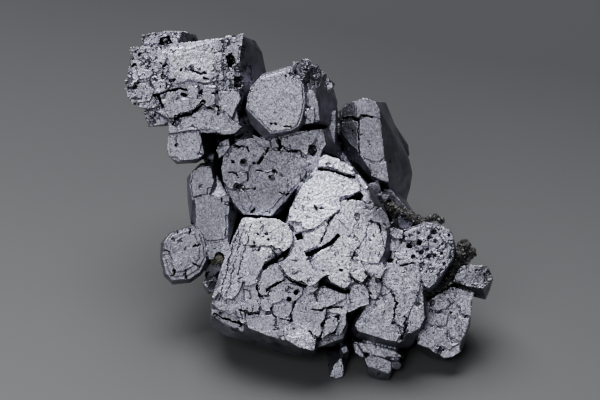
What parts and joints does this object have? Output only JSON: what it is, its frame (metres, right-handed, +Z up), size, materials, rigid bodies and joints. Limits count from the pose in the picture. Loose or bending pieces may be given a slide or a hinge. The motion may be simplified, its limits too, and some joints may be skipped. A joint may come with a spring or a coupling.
{
  "type": "galena specimen",
  "caption": "Cluster of intergrown cubo-octahedral galena crystals with stepped, platy, pitted faces, with small brown and tan crusts in its pockets; it rests on flats under it.",
  "frame": {"origin": "middle of the bounding box's base, on the surface that the specimen rests on", "axes": "+Z up, +X to the right of the side that the specimen shows, and that side looks along -Y and up"},
  "size_m": [0.0922, 0.0736, 0.0674],
  "materials": {
    "galena": "lead-grey metallic, finely etched and striated",
    "sphalerite": "dark brown, granular, dull",
    "sphalerite_ridge": "dark brown, granular, dull",
    "calcite": "pale tan, sugary"
  },
  "bodies": {
    "root": {"galena_cluster": "galena", "sphalerite_crust": "sphalerite", "sphalerite_ridge": "sphalerite_ridge", "calcite_grain": "calcite"}
  },
  "joints": []
}
